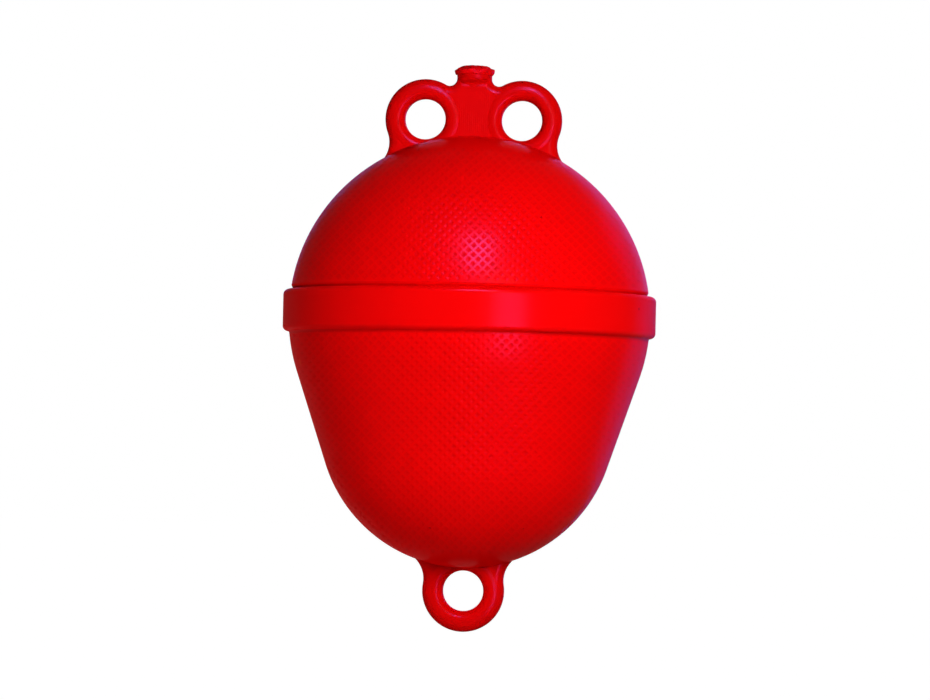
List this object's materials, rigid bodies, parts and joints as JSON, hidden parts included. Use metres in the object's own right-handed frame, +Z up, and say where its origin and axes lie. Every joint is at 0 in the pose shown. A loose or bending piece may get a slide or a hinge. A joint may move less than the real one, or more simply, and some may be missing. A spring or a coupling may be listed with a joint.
{
  "type": "mooring buoy",
  "caption": "Pear-shaped hard plastic mooring buoy with a rubbing band at the waterline, two line eyes and a sealed filling neck on top and a chain eye below.",
  "frame": {"origin": "on the buoy's axis at the waterline, half way up the rubbing band", "axes": "+Z up the axis from the chain eye to the two line eyes, +X across the two top eyes, +Y through the holes of the eyes"},
  "size_m": [0.2566, 0.2566, 0.3898],
  "materials": {
    "red_shell": "satin red polyethylene with a moulded diamond grip pattern",
    "red_band": "smooth semi-gloss red polyethylene",
    "red_lug": "smooth satin red polyethylene",
    "red_neck": "cut and welded red polyethylene"
  },
  "bodies": {
    "root": {"upper_shell": "red_shell", "lower_shell": "red_shell", "rubbing_band": "red_band", "top_lug": "red_lug", "bottom_lug": "red_lug", "filler_neck": "red_neck", "neck_seal": "red_neck"}
  },
  "joints": []
}
